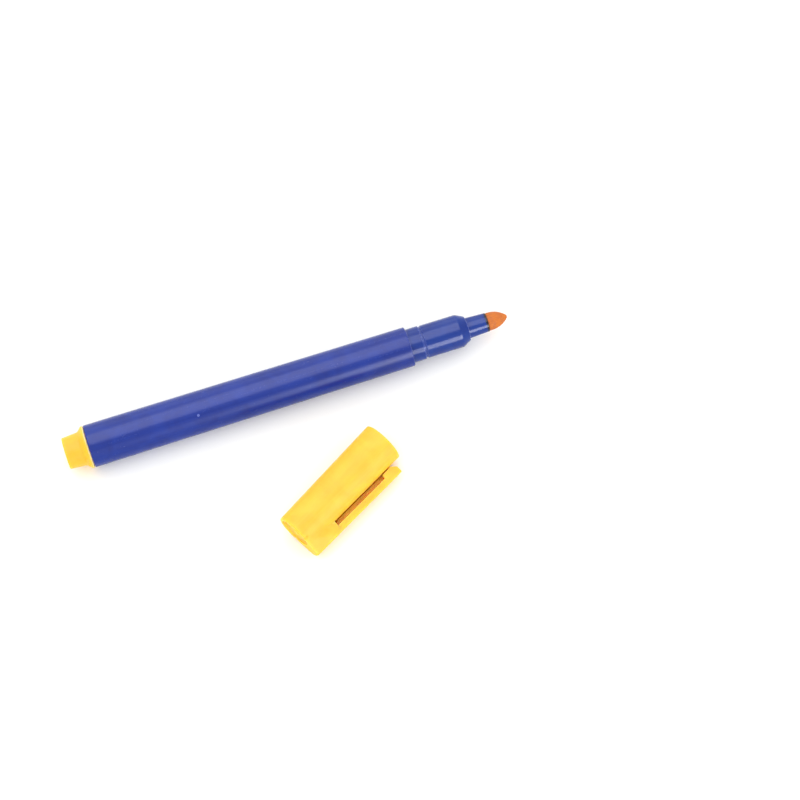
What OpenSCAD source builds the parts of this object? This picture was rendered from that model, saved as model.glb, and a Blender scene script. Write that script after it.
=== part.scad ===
// Counterfeit detector pen: a fibre-tip marker filled with iodine solution, uncapped,
// with its clip cap lying beside it on the table.
//
// Units are millimetres and +Z is up. The pen lies along X with its tip at +X. The origin is on
// the pen's axis at the front face of the barrel, where the mouth of the cap comes to rest.
// The cap lies at the same height, turned about Z, so swinging it round lines it up with the tip.

/* [Barrel] */

// Length of the barrel, from the rear plug to the front face
barrel_length = 90.6; // [70:0.1:110]
// Outside diameter of the barrel at the rear plug
barrel_rear_d = 11.8; // [11.6:0.1:12.4]
// Outside diameter of the barrel at its front face
barrel_front_d = 10.95; // [10.9:0.01:11.4]
// Bore of the barrel where the rear plug is pressed in
barrel_rear_bore_d = 9.6; // [9.5:0.1:9.8]
// Bore of the barrel where the front section is pressed in
barrel_front_bore_d = 8.9; // [8.8:0.05:9.0]

/* [Front section] */

// Diameter of the band next to the barrel, which the cap grips
seat_d = 9.4; // [9.3:0.01:9.4]
// Length of that band
seat_length = 3.5; // [2.5:0.1:4.5]
// Diameter of the front section ahead of the band
section_d = 9.14; // [8.9:0.01:9.2]
// Distance from the barrel's front face to the start of the shoulder
section_length = 14.2; // [12:0.1:16]
// Axial length of the rounded shoulder
shoulder_length = 2.3; // [1.5:0.1:3]
// Diameter at the front end of the shoulder
shoulder_front_d = 6.7; // [6.3:0.1:7.2]
// Distance from the barrel's front face to the end of the nose collar
collar_end = 22.2; // [20.5:0.1:23.5]
// Diameter of the nose collar where it leaves the shoulder
collar_root_d = 5.75; // [5.4:0.01:5.8]
// Diameter of the nose collar at its end
collar_end_d = 5.2; // [5.1:0.01:5.3]
// Length of the shank pressed into the barrel
shank_length = 10; // [7:0.5:14]

/* [Fibre tip and ink store] */

// Diameter of the bullet-shaped tip where it leaves the collar
nib_d = 4.96; // [4.6:0.01:5.0]
// Length of the tip standing out of the collar
nib_length = 5.65; // [5.3:0.05:6]
// Radius of the long curve that forms the side of the bullet
nib_side_r = 6.56; // [6.2:0.01:7.5]
// Diameter of the hidden rod that carries ink to the tip
nib_rod_d = 4.0; // [3.4:0.1:4.2]
// Diameter of the bonded-fibre ink core
core_d = 7.8; // [7:0.1:8.1]
// Thickness of the film wrapped round the core
film_t = 0.22; // [0.15:0.01:0.3]

/* [Rear plug] */

// Length of the stub that stands out behind the flange
stub_length = 4.55; // [3.5:0.05:7]
// Diameter of the stub at its rear end
stub_rear_d = 8.64; // [8.2:0.01:8.9]
// Diameter of the stub where it meets the flange
stub_root_d = 9.28; // [9:0.01:9.6]
// Length of the flared flange between stub and barrel
flange_length = 2.0; // [1.6:0.01:3]

/* [Cap] */

// Length of the cap from closed end to mouth
cap_length = 34.6; // [34.2:0.1:40]
// Outside diameter of the cap at its closed end
cap_closed_d = 10.7; // [10.7:0.1:11.4]
// Outside diameter of the cap at its mouth
cap_mouth_d = 11.8; // [11.7:0.1:12.4]
// Bore of the cap behind the mouth, which slides over the band of the front section
cap_bore_d = 9.5; // [9.46:0.01:9.56]
// Depth of that bore
cap_bore_depth = 15.2; // [14.8:0.1:16]

/* [Clip] */

// Distance from the closed end to the start of the gap under the clip
clip_gap_start = 9.5; // [7:0.1:12]
// Distance from the mouth back to the free end of the clip
clip_end_setback = 2.3; // [1.5:0.1:5]
// Gap between the cap's wall and the clip
clip_gap = 1.42; // [1.2:0.01:1.8]
// Thickness of the clip
clip_t = 1.9; // [1.5:0.05:2.2]
// Width of the clip
clip_w = 4.4; // [3.6:0.1:4.6]
// How far the clip points below level as the cap lies on the table, in degrees
clip_dip = 26; // [15:0.5:26]

/* [Position of the cap on the table] */

// Where the centre of the cap's mouth lies along the pen, from the barrel's front face
mouth_x = -15.0; // [-40:0.1:0]
// Where the centre of the cap's mouth lies across the pen
mouth_y = -23.9; // [-45:0.1:-22]
// Angle between the cap and the pen, in degrees
cap_yaw = 29.6; // [10:0.1:45]

/* [Hidden] */

$fn = 96;

// Steps in a rounded corner of a turned profile
round_steps = 7;
// How far a cutting tool runs past the surface it cuts
over = 1;
// Interference of a press fit, on the radius
press = 0.02;
// Small and large corner radii of the mouldings
edge_r = 0.25;
soft_r = 0.6;
// Corner radius round the closed end of the cap
closed_edge_r = 0.35;

barrel_rear_r = barrel_rear_d / 2;
barrel_front_r = barrel_front_d / 2;
rear_bore_r = barrel_rear_bore_d / 2;
front_bore_r = barrel_front_bore_d / 2;
rear_bore_depth = 8;
front_bore_depth = shank_length + 1;

seat_r = seat_d / 2;
section_r = section_d / 2;
shoulder_end = section_length + shoulder_length;
shank_r = front_bore_r + press;
shank_cavity_r = shank_r - 1.1;
shank_cavity_end = 9;
// Snap groove between the band and the rest of the front section
groove_w = 0.5;
groove_depth = 0.22;
// Rounding where the section turns into its shoulder
shoulder_r = 1.6;
// Lead-in on the hidden end of a pressed part
lead_in = 0.5;

nib_r = nib_d / 2;
nib_rod_r = nib_rod_d / 2;
nib_base_chamfer = 0.18;
// The side curve starts this far out of the collar
nib_side_start = 0.8;
// Centre and radius of the small round end that closes the long side curve of the bullet
nib_side_c = nib_r - nib_side_r;
nib_reach = nib_length - nib_side_start;
nib_end_r = (nib_reach * nib_reach + nib_side_c * nib_side_c - nib_side_r * nib_side_r)
    / (2 * (nib_reach - nib_side_r));
nib_end_c = nib_reach - nib_end_r;
// Direction in which the two curves meet, and the steps drawn along each
nib_meet = atan2(-nib_side_c, nib_end_c);
nib_steps = 14;
// How far the rod reaches into the ink core
nib_into_core = 6;
// Room left between the shank and the core
core_gap = 0.4;
core_front_x = -shank_length - core_gap;
nib_rear_x = core_front_x - nib_into_core;
// Four air channels let air back past the rod as ink is used
air_channel_w = 0.7;
air_channel_depth = 0.35;

core_r = core_d / 2;
core_rear_x = -barrel_length + rear_bore_depth;

plug_spigot_length = 7;
plug_spigot_r = rear_bore_r + press;
plug_cavity_r = 3.6;
plug_end_t = 1.3;
flange_rim_length = 0.75;
// Shallow round dish moulded in the end of the stub
stub_dish_r = 2.6;
stub_dish_depth = 0.25;

cap_closed_r = cap_closed_d / 2;
cap_mouth_r = cap_mouth_d / 2;
cap_slope = (cap_mouth_r - cap_closed_r) / cap_length;
cap_bore_r = cap_bore_d / 2;
cap_deep_bore_r = 4.4;
mouth_chamfer = 0.4;
// The closed end: a dished face, a wall behind it and a hole for the inner cap
dish_r = 4.6;
dish_depth = 0.6;
end_wall_t = 1.2;
end_hole_r = 3.0;
// Three curved air slots through the end wall
vent_count = 3;
vent_inner_r = 3.55;
vent_outer_r = 4.1;
vent_bridge_w = 2.0;

// Inner cap: the thimble that seals round the nose collar
thimble_r = 3.45;
thimble_bore_r = 2.95;
thimble_end_x = 17;
thimble_floor_t = 1.7;
thimble_lip_r = 0.22;
gate_r = 0.9;
gate_height = 0.25;

// Clip, measured outwards from the cap's axis
clip_inner_r = cap_closed_r + cap_slope * clip_gap_start + clip_gap;
clip_outer_r = clip_inner_r + clip_t;
clip_end_x = cap_length - clip_end_setback;
// The clip bends where a round root turns in a seat of the same shape
flex_r = clip_t / 2;
flex_clear = 0.06;
flex_x = clip_gap_start - flex_r - flex_clear;
// Grip pad under the free end
pad_length = 4.8;
pad_gap = 0.3;
pad_ramp = 1.5;
// Fraction of the full round used at the bend, so that its two corners stay apart
full_round = 0.98;
// The root of the clip spreads to this half width at the closed end
root_half_w = 4.9;
root_chamfer = 0.3;
// Notch where the round end face and the root of the clip meet
notch_r = 0.55;
notch_depth = 1.0;

blue = [0.16, 0.20, 0.62];
yellow = [0.98, 0.82, 0.22];
orange = [0.88, 0.44, 0.12];

// ---- profiles ----

// Points of one rounded corner b between a and c; a point is [axial, radial, corner radius]
function corner(a, b, c) =
    let (
        to_a = [a[0] - b[0], a[1] - b[1]],
        to_c = [c[0] - b[0], c[1] - b[1]],
        u = to_a / norm(to_a),
        v = to_c / norm(to_c),
        half = acos(u * v) / 2,
        centre = [b[0], b[1]] + (u + v) / norm(u + v) * b[2] / sin(half),
        first = [b[0], b[1]] + u * b[2] / tan(half) - centre,
        last = [b[0], b[1]] + v * b[2] / tan(half) - centre,
        start = atan2(first[1], first[0]),
        turn = atan2(first[0] * last[1] - first[1] * last[0], first * last)
    )
    [for (i = [0 : round_steps])
        centre + b[2] * [cos(start + turn * i / round_steps), sin(start + turn * i / round_steps)]];

// A closed outline with every corner rounded by its own radius
function rounded(points) =
    [for (i = [0 : len(points) - 1])
        let (
            a = points[(i + len(points) - 1) % len(points)],
            b = points[i],
            c = points[(i + 1) % len(points)]
        )
        each (b[2] > 0 ? corner(a, b, c) : [[b[0], b[1]]])];

// A solid turned about the X axis from an outline of [axial, radial] points
module turned(outline) {
    rotate([0, 90, 0])
        rotate_extrude()
            polygon([for (p = outline) [p[1], p[0]]]);
}

// A plain cylinder on the X axis from x0 to x1
module rod(r, x0, x1) {
    translate([x0, 0, 0])
        rotate([0, 90, 0])
            cylinder(h = x1 - x0, r = r);
}

// Moves a piece of the cap from its own frame, closed end at zero and mouth at +X, to the table
module on_table() {
    translate([mouth_x, mouth_y, 0])
        rotate([0, 0, cap_yaw])
            translate([-cap_length, 0, 0])
                children();
}

// Turns a piece drawn with the clip along -Y so that the clip dips towards the table
module at_clip() {
    rotate([clip_dip, 0, 0])
        children();
}

// ---- pen ----

module barrel() {
    color(blue)
        turned(rounded([
            [-barrel_length, rear_bore_r, 0],
            [-barrel_length, barrel_rear_r, edge_r],
            [0, barrel_front_r, edge_r],
            [0, front_bore_r, 0],
            [-front_bore_depth, front_bore_r, 0],
            [-barrel_length + rear_bore_depth, rear_bore_r, 0]
        ]));
}

// The section carries the nib; its shank is pressed into the barrel
module front_section() {
    color(blue)
        difference() {
            turned(rounded([
                [-shank_length, 0, 0],
                [-shank_length, shank_r - lead_in / 2, 0],
                [-shank_length + lead_in, shank_r, 0],
                [0, shank_r, 0],
                [0, seat_r, 0],
                [seat_length, seat_r, edge_r / 2],
                [seat_length + edge_r, section_r - groove_depth, 0],
                [seat_length + groove_w, section_r - groove_depth, 0],
                [seat_length + groove_w + edge_r, section_r, edge_r / 2],
                [section_length, section_r, shoulder_r],
                [shoulder_end, shoulder_front_d / 2, edge_r],
                [shoulder_end, collar_root_d / 2, edge_r / 2],
                [collar_end, collar_end_d / 2, edge_r / 2],
                [collar_end, 0, 0]
            ]));
            // bore for the rod of the nib
            rod(nib_rod_r - press, -shank_length - over, collar_end + over);
            // chamber behind the nose, open to the ink core
            turned([
                [-shank_length - over, 0],
                [-shank_length - over, shank_cavity_r],
                [shank_cavity_end, shank_cavity_r],
                [section_length, nib_rod_r],
                [section_length, 0]
            ]);
            // air channels along the bore
            for (a = [0 : 90 : 270])
                rotate([a + 45, 0, 0])
                    translate([section_length - over, nib_rod_r - over, -air_channel_w / 2])
                        cube([collar_end - section_length - over, over + air_channel_depth, air_channel_w]);
        }
}

module nib() {
    side = [for (i = [0 : nib_steps])
        let (a = 90 + (nib_meet - 90) * i / nib_steps)
        [nib_side_start + nib_side_r * cos(a), nib_side_c + nib_side_r * sin(a)]];
    end = [for (i = [1 : nib_steps])
        let (a = nib_meet * (1 - i / nib_steps))
        [nib_side_start + nib_end_c + nib_end_r * cos(a), i == nib_steps ? 0 : nib_end_r * sin(a)]];
    color(orange)
        union() {
            translate([collar_end, 0, 0])
                turned(concat(
                    [[0, 0], [0, nib_r - nib_base_chamfer], [nib_base_chamfer, nib_r]],
                    side,
                    end
                ));
            rod(nib_rod_r, nib_rear_x, collar_end + nib_base_chamfer);
        }
}

module ink_core() {
    color([0.93, 0.80, 0.45])
        difference() {
            rod(core_r, core_rear_x, core_front_x);
            rod(nib_rod_r - press, core_front_x - nib_into_core, core_front_x + over);
        }
}

module ink_film() {
    color([0.9, 0.9, 0.88])
        difference() {
            rod(core_r + film_t, core_rear_x, core_front_x);
            rod(core_r - press / 2, core_rear_x - over, core_front_x + over);
        }
}

module rear_plug() {
    stub_root_x = -barrel_length - flange_length;
    stub_rear_x = stub_root_x - stub_length;
    color(yellow)
        difference() {
            turned(rounded([
                [stub_rear_x, 0, 0],
                [stub_rear_x, stub_rear_d / 2, edge_r],
                [stub_root_x, stub_root_d / 2, soft_r],
                [-barrel_length - flange_rim_length, barrel_rear_r, soft_r / 2],
                [-barrel_length, barrel_rear_r, edge_r / 2],
                [-barrel_length, plug_spigot_r, 0],
                [-barrel_length + plug_spigot_length - lead_in, plug_spigot_r, 0],
                [-barrel_length + plug_spigot_length, plug_spigot_r - lead_in / 2, 0],
                [-barrel_length + plug_spigot_length, 0, 0]
            ]));
            rod(plug_cavity_r, stub_rear_x + plug_end_t, over);
            rod(stub_dish_r, stub_rear_x - over, stub_rear_x + stub_dish_depth);
        }
}

// ---- cap ----

// Radius of the clip's inner face at a distance x from the closed end; it follows the cap's wall
function clip_inner(x) = clip_inner_r + cap_slope * (x - clip_gap_start);

// Distance along the clip's own direction at which its root's flanks leave the round wall
root_touch = sqrt(cap_closed_r * cap_closed_r - root_half_w * root_half_w);

// Outline of the root seen along the cap
module root_section() {
    polygon([
        [0, -root_half_w],
        [root_touch, -root_half_w],
        [clip_outer_r, -clip_w / 2],
        [clip_outer_r, clip_w / 2],
        [root_touch, root_half_w],
        [0, root_half_w]
    ]);
}

// Outline of the root seen from outside: it narrows from the closed end to the clip's width
module root_plan() {
    polygon([
        [0, -root_half_w],
        [root_chamfer, -root_half_w],
        [flex_x, -clip_w / 2],
        [clip_gap_start, -clip_w / 2],
        [clip_gap_start, clip_w / 2],
        [flex_x, clip_w / 2],
        [root_chamfer, root_half_w],
        [0, root_half_w]
    ]);
}

// Outline of the root seen from the side, bevelled at the closed end
module root_side() {
    turned(rounded([
        [0, 0, 0],
        [0, clip_inner(0) + clip_t - root_chamfer, edge_r],
        [root_chamfer, clip_inner(root_chamfer) + clip_t, edge_r],
        [clip_gap_start, clip_inner(clip_gap_start) + clip_t, 0],
        [clip_gap_start, 0, 0]
    ]));
}

module clip_root() {
    intersection() {
        rotate([-90, 0, 0])
            rotate([0, 90, 0])
                linear_extrude(height = clip_gap_start)
                    root_section();
        rotate([90, 0, 0])
            linear_extrude(height = clip_outer_r + over)
                root_plan();
        root_side();
    }
}

module cap_shell() {
    color(yellow)
        on_table()
            difference() {
                union() {
                    turned(rounded([
                        [0, 0, 0],
                        [0, cap_closed_r, closed_edge_r],
                        [cap_length, cap_mouth_r, edge_r],
                        [cap_length, 0, 0]
                    ]));
                    at_clip()
                        clip_root();
                }
                // bore, stepped in behind the front section
                turned([
                    [dish_depth + end_wall_t, 0],
                    [dish_depth + end_wall_t, cap_deep_bore_r],
                    [cap_length - cap_bore_depth - edge_r, cap_deep_bore_r],
                    [cap_length - cap_bore_depth, cap_bore_r],
                    [cap_length - mouth_chamfer, cap_bore_r],
                    [cap_length, cap_bore_r + mouth_chamfer / 2],
                    [cap_length + over, cap_bore_r + mouth_chamfer / 2],
                    [cap_length + over, 0]
                ]);
                rod(dish_r, -over, dish_depth);
                rod(end_hole_r - press, -over, dish_depth + end_wall_t + over);
                vents();
                at_clip() {
                    // round seat and open channel for the root of the clip
                    clip_seat();
                    // notches either side of the root at the closed end
                    for (side = [-1, 1])
                        translate([0, -root_touch, side * root_half_w])
                            rod(notch_r, -over, notch_depth);
                }
            }
}

// The space in which the clip bends, cut from the root
module clip_seat() {
    middle = clip_inner(flex_x) + flex_r;
    turned([for (i = [0 : 2 * round_steps])
        let (a = 90 + 180 * i / (2 * round_steps))
        [flex_x + (flex_r + flex_clear) * cos(a), middle + (flex_r + flex_clear) * sin(a)]]);
    turned([
        [flex_x, clip_inner(flex_x) - flex_clear],
        [clip_gap_start + over, clip_inner(clip_gap_start + over) - flex_clear],
        [clip_gap_start + over, clip_outer_r + over],
        [flex_x, clip_outer_r + over]
    ]);
}

// Curved air slots through the end wall
module vents() {
    translate([dish_depth - over, 0, 0])
        rotate([0, 90, 0])
            linear_extrude(height = end_wall_t + 2 * over)
                difference() {
                    circle(r = vent_outer_r);
                    circle(r = vent_inner_r);
                    for (i = [0 : vent_count - 1])
                        rotate(i * 360 / vent_count)
                            translate([0, -vent_bridge_w / 2])
                                square([vent_outer_r + over, vent_bridge_w]);
                }
}

module inner_cap() {
    wall_x = dish_depth + end_wall_t;
    color(yellow)
        on_table()
            difference() {
                turned(rounded([
                    [dish_depth - gate_height, 0, 0],
                    [dish_depth - gate_height, gate_r, gate_height / 2],
                    [dish_depth, gate_r + gate_height / 2, 0],
                    [dish_depth, end_hole_r, 0],
                    [wall_x, end_hole_r, 0],
                    [wall_x, thimble_r, 0],
                    [thimble_end_x, thimble_r, thimble_lip_r],
                    [thimble_end_x, 0, 0]
                ]));
                rod(thimble_bore_r, dish_depth + thimble_floor_t, thimble_end_x + over);
            }
}

// The clip and its grip pad, bending at the round root
module cap_clip() {
    root_end_x = flex_x - flex_r;
    pad_r = cap_closed_r + cap_slope * clip_end_x + pad_gap;
    color(yellow)
        on_table()
            at_clip()
                intersection() {
                    turned(rounded([
                        [root_end_x, clip_inner(root_end_x), flex_r * full_round],
                        [clip_end_x - pad_length, clip_inner(clip_end_x - pad_length), 0],
                        [clip_end_x - pad_length + edge_r, pad_r, edge_r / 2],
                        [clip_end_x - pad_ramp, pad_r, edge_r],
                        [clip_end_x, clip_inner(clip_end_x), edge_r / 2],
                        [clip_end_x, clip_inner(clip_end_x) + clip_t, soft_r],
                        [root_end_x, clip_inner(root_end_x) + clip_t, flex_r * full_round]
                    ]));
                    translate([0, -clip_outer_r - 2 * over, -clip_w / 2])
                        cube([cap_length, clip_outer_r + over, clip_w]);
                }
}

barrel();
front_section();
nib();
ink_core();
ink_film();
rear_plug();
cap_shell();
inner_cap();
cap_clip();
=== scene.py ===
# %% [markdown]
# # A counterfeit detector pen and its cap
#
# The pen is a blue fibre-tip marker with a yellow rear plug, and its yellow clip cap lies beside
# it. An engineering model of both is loaded first. It fixes every size, place and joint, so here
# we only make them look real: finer moulded shapes, a fibrous tip, and plastics that show how
# they were made and used.

import math

import bmesh
import bpy
from mathutils import Matrix, Vector, noise


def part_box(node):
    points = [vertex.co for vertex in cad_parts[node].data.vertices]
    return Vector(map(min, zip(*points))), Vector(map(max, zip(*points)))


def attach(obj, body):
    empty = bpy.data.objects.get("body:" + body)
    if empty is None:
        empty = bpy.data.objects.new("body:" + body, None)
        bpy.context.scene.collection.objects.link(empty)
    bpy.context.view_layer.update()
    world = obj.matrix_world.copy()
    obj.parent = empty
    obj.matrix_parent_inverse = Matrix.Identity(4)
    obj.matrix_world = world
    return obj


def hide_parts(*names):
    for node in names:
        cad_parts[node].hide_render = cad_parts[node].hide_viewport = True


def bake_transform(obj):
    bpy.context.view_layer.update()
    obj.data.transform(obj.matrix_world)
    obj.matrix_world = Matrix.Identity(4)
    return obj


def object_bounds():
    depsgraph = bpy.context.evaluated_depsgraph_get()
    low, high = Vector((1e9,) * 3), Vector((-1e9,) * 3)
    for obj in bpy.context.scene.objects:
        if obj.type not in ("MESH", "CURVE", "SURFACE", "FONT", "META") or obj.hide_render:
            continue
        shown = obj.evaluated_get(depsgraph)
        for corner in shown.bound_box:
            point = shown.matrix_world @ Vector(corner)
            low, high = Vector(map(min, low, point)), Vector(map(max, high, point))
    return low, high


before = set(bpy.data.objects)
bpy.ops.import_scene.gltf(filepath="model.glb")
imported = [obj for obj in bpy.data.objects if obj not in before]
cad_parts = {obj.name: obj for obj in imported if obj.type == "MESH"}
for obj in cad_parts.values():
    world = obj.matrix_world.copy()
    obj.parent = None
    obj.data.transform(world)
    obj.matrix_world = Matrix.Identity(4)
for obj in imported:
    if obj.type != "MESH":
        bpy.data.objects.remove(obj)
cad_low, cad_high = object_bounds()
MM = 0.001
print("Overall size in mm:", [round(v / MM, 2) for v in cad_high - cad_low])

# %% [markdown]
# ## The camera
#
# The camera stands in front of the table and looks steeply down through a long lens, so that near
# and far ends of the pen keep almost the same scale. We could place such a camera by eye. It is
# easier to say where it looks, from which direction, how far away it stands and how much it is
# rolled, and let a small function turn that into a matrix.

# %% Stand the camera in front of the table
TABLE_Z = cad_low.z
LOOK_AT = Vector((-6.7 * MM, -11.8 * MM, TABLE_Z))
CAMERA_AZIMUTH = math.radians(-10.8)
CAMERA_ELEVATION = math.radians(69.4)
CAMERA_ROLL = math.radians(-7.3)
CAMERA_DISTANCE = 808.9 * MM
LENS_MM = 134.0
SENSOR_MM = 36.0
NEAREST_SEEN = 0.01
FARTHEST_SEEN = 20.0


def direction(azimuth, elevation):
    """Unit vector from the table towards a camera or lamp; azimuth 0 is straight in front."""
    flat = math.cos(elevation)
    return Vector((math.sin(azimuth) * flat, -math.cos(azimuth) * flat, math.sin(elevation)))


lens = bpy.data.cameras.new("product_camera")
lens.lens = LENS_MM
lens.sensor_width = SENSOR_MM
lens.clip_start = NEAREST_SEEN
lens.clip_end = FARTHEST_SEEN
camera = bpy.data.objects.new("product_camera", lens)
bpy.context.scene.collection.objects.link(camera)
towards_camera = direction(CAMERA_AZIMUTH, CAMERA_ELEVATION)
camera.location = LOOK_AT + towards_camera * CAMERA_DISTANCE
aimed = (-towards_camera).to_track_quat("-Z", "Y").to_matrix()
camera.rotation_euler = (aimed @ Matrix.Rotation(CAMERA_ROLL, 3, "Z")).to_euler()
bpy.context.scene.camera = camera
print("Camera stands at", [round(v, 3) for v in camera.location])

# %% [markdown]
# ## Wiring materials
#
# A procedural material is a small network of nodes that works its colour out from a place on the
# piece, where an image would look it up. Each node could be added and wired by hand, in five or
# six lines. The same few steps come back in every material, so short helpers do them: one adds a
# node, one sets or links its inputs by name, one starts a material, and one turns a value into a
# colour.

# %% Helpers that add and wire nodes
def node(tree, kind, **settings):
    """Adds one shader node and sets its own properties."""
    made = tree.nodes.new(kind)
    for name, value in settings.items():
        setattr(made, name, value)
    return made


def feed(tree, target, **sockets):
    """Sets or links inputs of a node by name; an underscore in a name stands for a space."""
    for name, value in sockets.items():
        socket = target.inputs[name.replace("_", " ")]
        if isinstance(value, bpy.types.NodeSocket):
            tree.links.new(value, socket)
        else:
            socket.default_value = value
    return target


def new_material(name):
    """An empty material; returns it with its node tree and its Principled shader."""
    made = bpy.data.materials.new(name)
    made.use_nodes = True
    return made, made.node_tree, made.node_tree.nodes["Principled BSDF"]


def colour_ramp(tree, factor, stops):
    """A ramp through (position, (r, g, b)) stops; returns its colour output."""
    ramp = node(tree, "ShaderNodeValToRGB")
    elements = ramp.color_ramp.elements
    while len(elements) < len(stops):
        elements.new(0.5)
    for element, (position, colour) in zip(elements, stops):
        element.position = position
        element.color = (*colour, 1.0)
    tree.links.new(factor, ramp.inputs["Fac"])
    return ramp.outputs["Color"]


print("Ready to wire materials")

# %% [markdown]
# ## Table and light
#
# The pen lies on a plain near-white table, which only has to catch the contact shadows. A plane
# with one material does that. Its white is broken by a very faint noise, because even a clean
# sheet of paper isn't one number all over.

# %% Lay the floor
FLOOR_SIZE = 6.0
FLOOR_WHITE = 0.93
FLOOR_TINT = 0.01
FLOOR_GRAIN = 9.0

floor_paint, tree, shader = new_material("pale_floor")
grain = feed(tree, node(tree, "ShaderNodeTexNoise"), Scale=FLOOR_GRAIN)
dark_white = (FLOOR_WHITE, FLOOR_WHITE, FLOOR_WHITE - FLOOR_TINT)
light_white = (FLOOR_WHITE + FLOOR_TINT, FLOOR_WHITE + FLOOR_TINT, FLOOR_WHITE)
paint = colour_ramp(tree, grain.outputs["Fac"], [(0.3, dark_white), (0.7, light_white)])
feed(tree, shader, Base_Color=paint, Roughness=0.7, Specular_IOR_Level=0.2)

half = FLOOR_SIZE / 2
floor_corners = [(-half, -half), (half, -half), (half, half), (-half, half)]
floor_mesh = bpy.data.meshes.new("floor")
floor_mesh.from_pydata([(x, y, TABLE_Z) for x, y in floor_corners], [], [(0, 1, 2, 3)])
floor_mesh.materials.append(floor_paint)
floor = bpy.data.objects.new("floor", floor_mesh)
bpy.context.scene.collection.objects.link(floor)
print("The floor lies", round(-TABLE_Z / MM, 2), "mm below the pen's axis")

# %% [markdown]
# Small glossy mouldings are lit in a white tent: light comes from everywhere, so shadows stay
# faint, and one or two bright panels draw the highlights that describe their roundness. The world
# is the tent. Panels overhead and behind give the barrel its broad soft streak, and a smaller one,
# low in front and to the right, gives the narrow crisp one near the tip. The Standard view is
# chosen because it keeps the saturated blue and yellow as they are.

# %% Raise the tent and hang the lamps
TENT_STRENGTH = 1.45
TENT_COLOUR = (1.0, 1.0, 0.985, 1.0)

tent = bpy.data.worlds.new("white_tent")
tent.use_nodes = True
feed(tent.node_tree, tent.node_tree.nodes["Background"], Color=TENT_COLOUR, Strength=TENT_STRENGTH)
bpy.context.scene.world = tent
bpy.context.scene.view_settings.view_transform = "Standard"


def hang_panel(name, azimuth, elevation, distance, size, power, shift=0.0):
    """A rectangular soft lamp, placed in degrees and metres, that faces the middle of the table
    and is then shifted sideways along X. It makes highlights only, so it casts no shadow."""
    lamp = bpy.data.lights.new(name, "AREA")
    lamp.shape = "RECTANGLE"
    lamp.size, lamp.size_y = size
    lamp.energy = power
    away = direction(math.radians(azimuth), math.radians(elevation))
    panel = bpy.data.objects.new(name, lamp)
    panel.location = LOOK_AT + away * distance + Vector((shift, 0.0, 0.0))
    panel.rotation_euler = away.to_track_quat("Z", "Y").to_euler()
    panel.visible_diffuse = False
    bpy.context.scene.collection.objects.link(panel)


hang_panel("overhead_panel", azimuth=180, elevation=77, distance=1.2, size=(1.5, 1.2), power=23.0)
hang_panel("back_panel", azimuth=180, elevation=30, distance=1.5, size=(1.8, 1.3), power=9.0)
hang_panel("front_panel", azimuth=0, elevation=20, distance=1.0, size=(0.8, 0.52), power=17.0,
           shift=0.47)

# %% [markdown]
# ## The blue plastics
#
# The barrel is moulded from opaque blue polypropylene. Its tool leaves faint drag lines along the
# length, the pigment is never quite even, and handling adds hair-fine scratches and paler worn
# edges. On the blue lips that paler edge colour is also a painted highlight. We could paint all
# that on an image. Noise nodes do it without one: the pen's own coordinates are turned into
# millimetres, and stretched along the pen for the drag lines, before a noise is laid over them.
# These two steps come first.

# %% Noise in millimetres
def in_millimetres(tree, stretch=(1.0, 1.0, 1.0), turn=0.0):
    """The piece's coordinates in mm, turned about Z by an angle and then stretched."""
    place = node(tree, "ShaderNodeTexCoord")
    turned_place = node(tree, "ShaderNodeMapping", vector_type="POINT")
    feed(tree, turned_place, Vector=place.outputs["Object"], Rotation=(0.0, 0.0, -turn))
    scaled = node(tree, "ShaderNodeMapping", vector_type="POINT")
    scale = tuple(s / MM for s in stretch)
    feed(tree, scaled, Vector=turned_place.outputs["Vector"], Scale=scale)
    return scaled.outputs["Vector"]


def noise_of(tree, vector, scale, detail=3.0, roughness=0.5, distortion=0.0):
    """A noise value over a vector."""
    cloud = node(tree, "ShaderNodeTexNoise")
    feed(tree, cloud, Vector=vector, Scale=scale, Detail=detail, Roughness=roughness,
         Distortion=distortion)
    return cloud.outputs["Fac"]


print("Noise is laid out in millimetres")

# %% [markdown]
# A bare noise value is soft and grey. To become a scratch, a stain or a sheen it is cut to a range
# by a smooth step, added to other values, used to blend two colours, or read as a height. Each of
# these is one node with a helper of its own, which keeps the recipes below as short as their
# ideas. The last helper joins a few of them into the uneven edge that two of the finishes need.

# %% Steps, sums, blends and bumps
def stepped(tree, factor, low, high, to_low=0.0, to_high=1.0):
    """Maps the range low..high of a value to to_low..to_high with a smooth start and end."""
    step = node(tree, "ShaderNodeMapRange", interpolation_type="SMOOTHSTEP")
    feed(tree, step, Value=factor, From_Min=low, From_Max=high, To_Min=to_low, To_Max=to_high)
    return step.outputs["Result"]


def sums(tree, kind, first, second):
    """One Math node; returns its value."""
    made = node(tree, "ShaderNodeMath", operation=kind)
    for socket, value in zip(made.inputs, (first, second)):
        if isinstance(value, bpy.types.NodeSocket):
            tree.links.new(value, socket)
        else:
            socket.default_value = value
    return made.outputs["Value"]


def mixed(tree, factor, first, second):
    """Blends two colours; returns the result. The node has a set of sockets for each kind of
    data, all with the same names, so those for colours are found by their place."""
    mix = node(tree, "ShaderNodeMix", data_type="RGBA")
    tree.links.new(factor, mix.inputs[0])
    for place, colour in ((6, first), (7, second)):
        if isinstance(colour, bpy.types.NodeSocket):
            tree.links.new(colour, mix.inputs[place])
        else:
            mix.inputs[place].default_value = (*colour, 1.0)
    return mix.outputs[2]


def bumped(tree, height, depth):
    """The direction of a surface that rises with a height value, scaled to a depth in mm."""
    bump = node(tree, "ShaderNodeBump")
    feed(tree, bump, Height=height, Distance=depth * MM, Strength=1.0)
    return bump.outputs["Normal"]


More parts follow.
